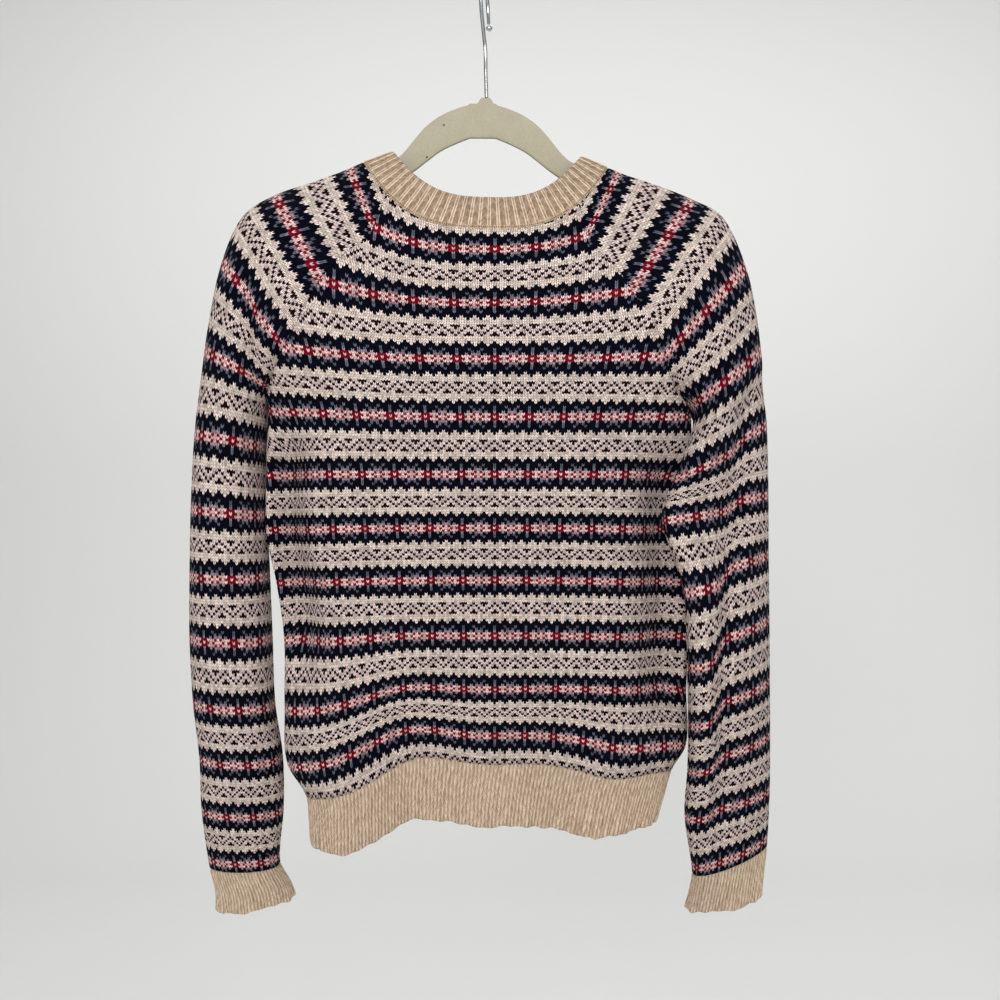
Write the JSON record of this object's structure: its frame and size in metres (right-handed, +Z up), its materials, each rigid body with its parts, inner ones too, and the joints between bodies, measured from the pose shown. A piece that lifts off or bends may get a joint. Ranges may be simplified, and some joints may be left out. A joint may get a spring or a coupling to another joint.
{
  "type": "fair isle jumper on a clothes hanger",
  "caption": "Raglan fair isle jumper with ribbed neckband, hem and cuffs, hung on a slim flocked clothes hanger with a wire hook.",
  "frame": {"origin": "inner top of the hook, where it rests on a rail", "axes": "+Z up, +X towards the right sleeve as seen from the back, -Y out of the jumper's back"},
  "size_m": [0.5168, 0.1164, 0.8313],
  "materials": {
    "fair_isle_knit": "stranded wool knit in navy, cream, pink, red and grey bands",
    "rib_knit": "marled beige rib knit",
    "hanger_flock": "short velvet flock over moulded plastic",
    "hook_wire": "bright plated wire"
  },
  "bodies": {
    "root": {"body_back": "fair_isle_knit", "body_front": "fair_isle_knit", "sleeve_left": "fair_isle_knit", "sleeve_right": "fair_isle_knit", "neckband": "rib_knit", "hem_rib_back": "rib_knit", "hem_rib_front": "rib_knit", "cuff_left": "rib_knit", "cuff_right": "rib_knit", "hanger": "hanger_flock", "hanger_hook": "hook_wire"}
  },
  "joints": []
}
